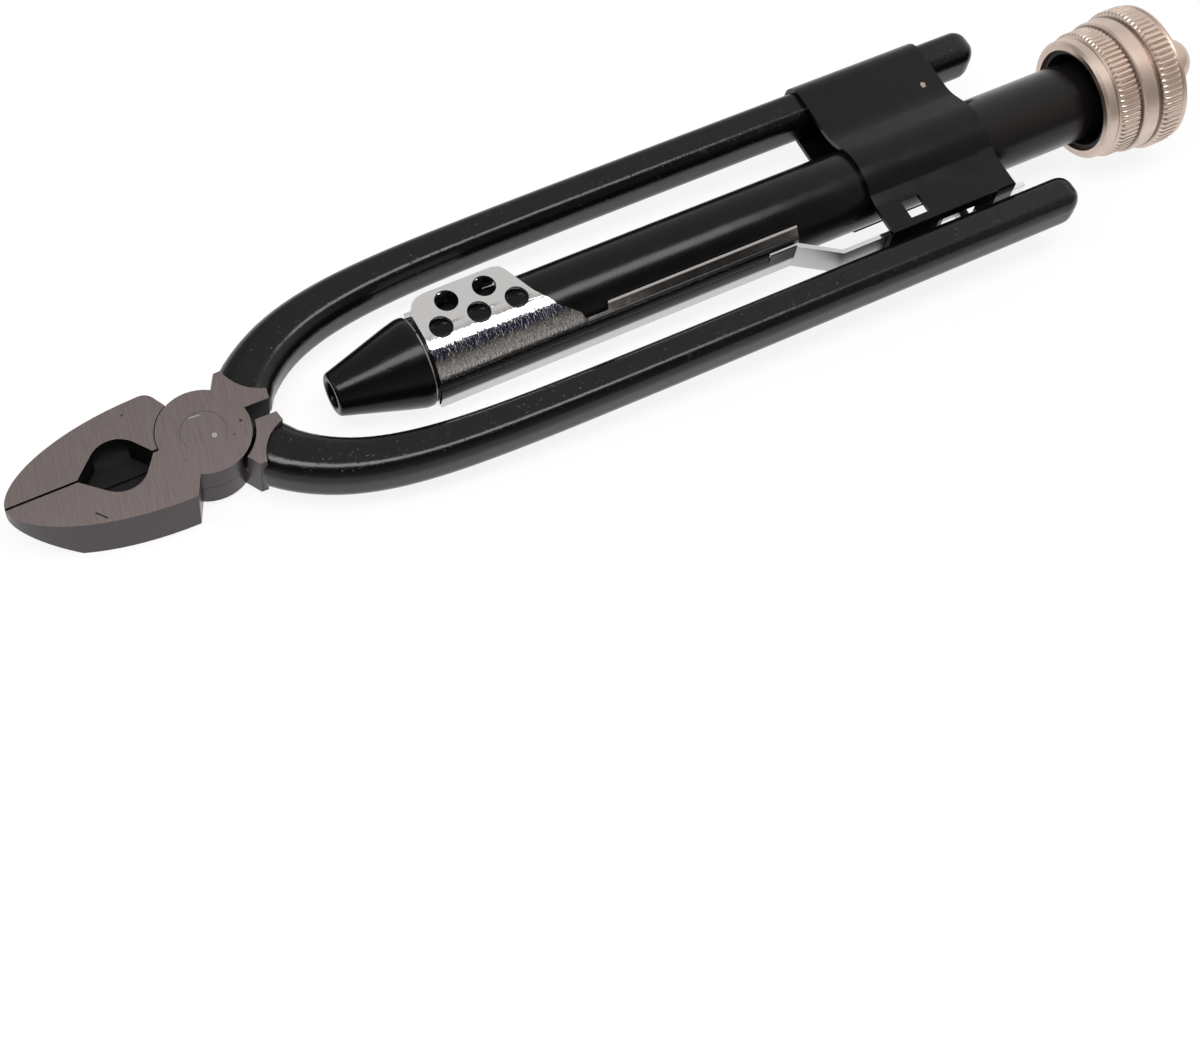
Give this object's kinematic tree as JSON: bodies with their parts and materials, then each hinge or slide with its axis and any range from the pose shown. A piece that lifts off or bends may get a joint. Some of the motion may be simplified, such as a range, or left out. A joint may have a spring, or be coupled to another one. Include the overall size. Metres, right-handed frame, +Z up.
{
  "type": "safety wire pliers",
  "caption": "Locking pliers with serrated combination jaws, black dipped handles and a pull-knob spindle in a tube that spins the tool to twist lockwire.",
  "frame": {"origin": "on the twist axis, half way between the jaw tip and the end of the domed nut", "axes": "+X along the twist axis from the jaws to the knob, +Y towards the handle that carries the tube, +Z up, square to the flat of the head"},
  "size_m": [0.2338, 0.044, 0.0266],
  "materials": {
    "ground_steel": "ground and brushed",
    "black_dip": "glossy dipped coat",
    "black_paint": "glossy black enamel",
    "chrome_sheet": "bright plated sheet",
    "bright_steel": "bright drawn steel",
    "bush_brass": "turned",
    "satin_nickel": "satin champagne nickel plate",
    "black_liner": "matt"
  },
  "bodies": {
    "frame": {"lower_jaw_lever": "ground_steel", "upper_handle_coat": "black_dip", "pivot_rivet": "ground_steel", "saddle_bracket": "black_paint", "spindle_tube": "black_paint", "nose_cone": "black_paint", "guide_bush": "bush_brass", "return_spring": "bright_steel", "rear_spring_seat": "bright_steel"},
    "jaw_lever": {"upper_jaw_lever": "ground_steel", "lower_handle_coat": "black_dip", "lock_catch": "bright_steel"},
    "lock_slider": {"lock_slide": "chrome_sheet"},
    "pull_carriage": {"front_spring_seat": "bright_steel"},
    "spindle": {"twist_rod": "bright_steel", "rod_end_nut": "bright_steel", "knob": "satin_nickel", "knob_liner": "black_liner", "dome_nut": "satin_nickel"}
  },
  "joints": [
    {"name": "jaw_open", "type": "hinge", "parent": "frame", "child": "jaw_lever", "pos_m": [-0.0834, 0, 0], "axis": [0, 0, -1], "range_deg": [0, 28]},
    {"name": "lock_shift", "type": "slide", "parent": "frame", "child": "lock_slider", "axis": [1, 0, 0], "range_m": [0, 0.003]},
    {"name": "knob_pull", "type": "slide", "parent": "frame", "child": "pull_carriage", "axis": [1, 0, 0], "range_m": [0, 0.08], "stiffness_N_per_m": 40, "deforming": ["return_spring"]},
    {"name": "spindle_turn", "type": "hinge", "parent": "pull_carriage", "child": "spindle", "pos_m": [0, 0, 0], "axis": [1, 0, 0], "range_deg": [-2, 722]}
  ],
  "couplings": [
    {"joint": "spindle_turn", "follows": "knob_pull", "rad_per_m": 157.08}
  ]
}
